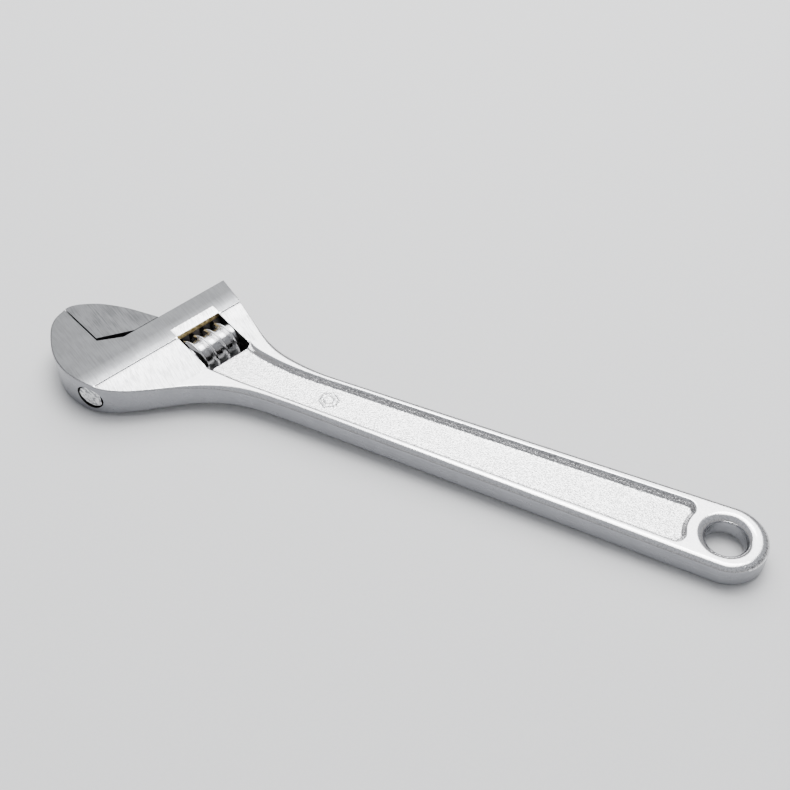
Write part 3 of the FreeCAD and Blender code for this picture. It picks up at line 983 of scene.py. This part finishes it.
def make_lights():
    """Broad soft lights over the far side and overhead, in a room that darkens low down."""
    world = bpy.data.worlds.new("studio")
    world.use_nodes = True
    tree = world.node_tree
    direction = tree.nodes.new("ShaderNodeTexCoord")
    height = tree.nodes.new("ShaderNodeSeparateXYZ")
    link(tree, direction.outputs["Generated"], height.inputs[0])
    shades = [(0.05, (0.2, 0.19, 0.185)), (0.16, (0.42, 0.415, 0.42)), (0.75, (0.5, 0.515, 0.55))]
    room = colour_ramp(tree, height.outputs["Z"], shades)
    link(tree, room, tree.nodes["Background"].inputs["Color"])
    bpy.context.scene.world = world
    for light in LIGHTS:
        soft_light(*light)


# ---- assembly ---------------------------------------------------------------------

body = build_body()
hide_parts("body")
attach(body, "root")

worm = build_worm()
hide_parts("adjusting_worm")
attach(worm, "worm")

# the ground flat's slide band is painted lighter toward the crease, a painted highlight
ground = satin_steel("ground_flat", math.radians(28), (0.112, 0.114, 0.118),
                     contrast=0.8, crease_sheen=1.6)
bright_ground = satin_steel("bright_ground", math.radians(35), (0.84, 0.84, 0.85),
                            roughness=0.3, contrast=0.55)
# partly satin finish, partly painted shade: the sides get a much darker grey than the chrome rims
shaded_side_chrome = satin_steel("shaded_side_chrome", 0.0, (0.31, 0.315, 0.335), roughness=0.3, contrast=0.9)
rim_chrome = cast_chrome("rim_chrome", 0.00004, 0.14, (0.86, 0.86, 0.87), 0.8)
floor_chrome = cast_chrome("floor_chrome", 0.00045, 0.14, (0.92, 0.92, 0.92), 0.5)
wall_chrome = cast_chrome("wall_chrome", 0.0003, 0.16, (0.85, 0.85, 0.86), 0.5)
# painted shade: near-black steel for the walls inside the window and the bore, which sit in shadow
inner = stain_and_shade_steel("painted_shade_inside", [(0.01, 0.01, 0.01), (0.025, 0.024, 0.022), (0.07, 0.065, 0.06)])
amber = stain_and_shade_steel("amber_inside", [(0.25, 0.18, 0.07), (0.62, 0.48, 0.24), (0.95, 0.86, 0.6)])
worm_chrome = polished("worm_chrome", (0.93, 0.93, 0.94), 0.13)
jaw_satin = jaw_steel("jaw_satin", math.radians(28), (0.107, 0.109, 0.113))


def body_finish(centre, normal):
    """Which finish a face of the body has, from where it is and how it faces."""
    u = centre[0] * COS_HEAD - centre[1] * SIN_HEAD
    v = centre[0] * SIN_HEAD + centre[1] * COS_HEAD
    up = abs(normal[2])
    height = abs(centre[2])
    across = WINDOW_V[0] - 0.1 < v < WINDOW_V[1] + 0.1
    if up < 0.35 and across and WINDOW_U[0] - 0.3 < u < WINDOW_U[0] + 0.3 and height > 5:
        return "amber"
    # faces inside the bore and the window get the near-black painted shade
    along_bore = abs(normal[0] * SIN_HEAD + normal[1] * COS_HEAD) < 0.2
    if along_bore and abs(math.hypot(u - STEM_U, centre[2]) - STEM_BORE_R) < 0.1:
        return "inner"
    if up < 0.95 and across and WINDOW_U[0] - 6 < u < WINDOW_U[1] + 0.1 and height < 6.9:
        return "inner"
    if u < CREASE_U and up > 0.9:
        return "bright" if u > NOTCH_U and across else "ground"
    if u < WINDOW_U[1] and up > 0.9:
        return "bright"
    if math.hypot(centre[0], centre[1]) < HANG_HOLE_R + HANG_LIP[0]:
        return "rim" if up > 0.2 else "side"
    if u > RECESS_START_U and up > 0.3 and height < RECESS_FLOOR_Z + 0.25:
        return "floor"
    recess_half = RECESS_TAIL_HALF + centre[0] * math.tan(math.radians(RECESS_TAPER))
    if up > 0.3 and height < HANDLE_HALF - 0.25 and abs(centre[1]) < recess_half + WALL_REACH:
        return "wall"
    return "rim" if up > 0.45 else "side"


assign_by(body, {"ground": ground, "bright": bright_ground, "rim": rim_chrome, "floor": floor_chrome,
                 "wall": wall_chrome, "side": shaded_side_chrome, "inner": inner, "amber": amber}, body_finish)
worm.data.materials.append(worm_chrome)

# the spring inside the worm gets the near-black painted shade
for name, material in (("movable_jaw", jaw_satin), ("worm_pin", shaded_side_chrome), ("worm_spring", inner)):
    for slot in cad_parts[name].material_slots:
        slot.material = material

make_floor()
make_camera()
make_lights()
